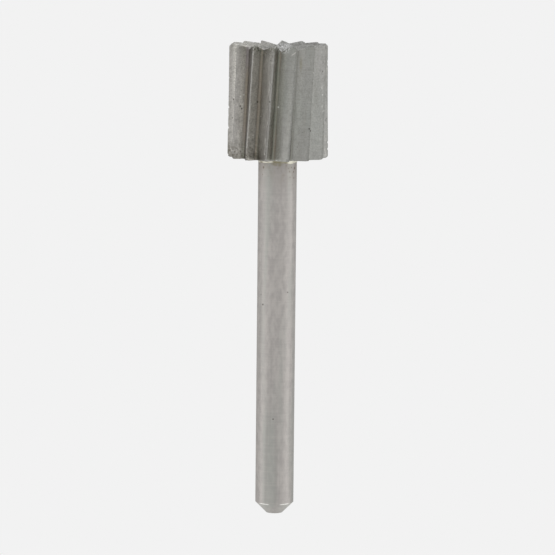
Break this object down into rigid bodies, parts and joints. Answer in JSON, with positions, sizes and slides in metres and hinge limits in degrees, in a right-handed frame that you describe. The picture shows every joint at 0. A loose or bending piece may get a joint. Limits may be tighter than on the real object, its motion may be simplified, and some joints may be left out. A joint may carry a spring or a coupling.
{
  "type": "carbide burr",
  "caption": "Cylindrical rotary burr with helical side teeth and an end-cutting face, brazed to a plain round shank.",
  "frame": {"origin": "centre of the cutting end, in the plane that its end teeth touch", "axes": "+Z along the tool's axis towards the free end of the shank; +X and +Y across it"},
  "size_m": [0.0078, 0.0078, 0.0369],
  "materials": {
    "carbide": "matte ground tungsten carbide with fine pits",
    "braze": "bright pale silver solder",
    "shank_steel": "centreless-ground steel"
  },
  "bodies": {
    "root": {"cutter_head": "carbide", "braze_joint": "braze", "shank": "shank_steel"}
  },
  "joints": []
}
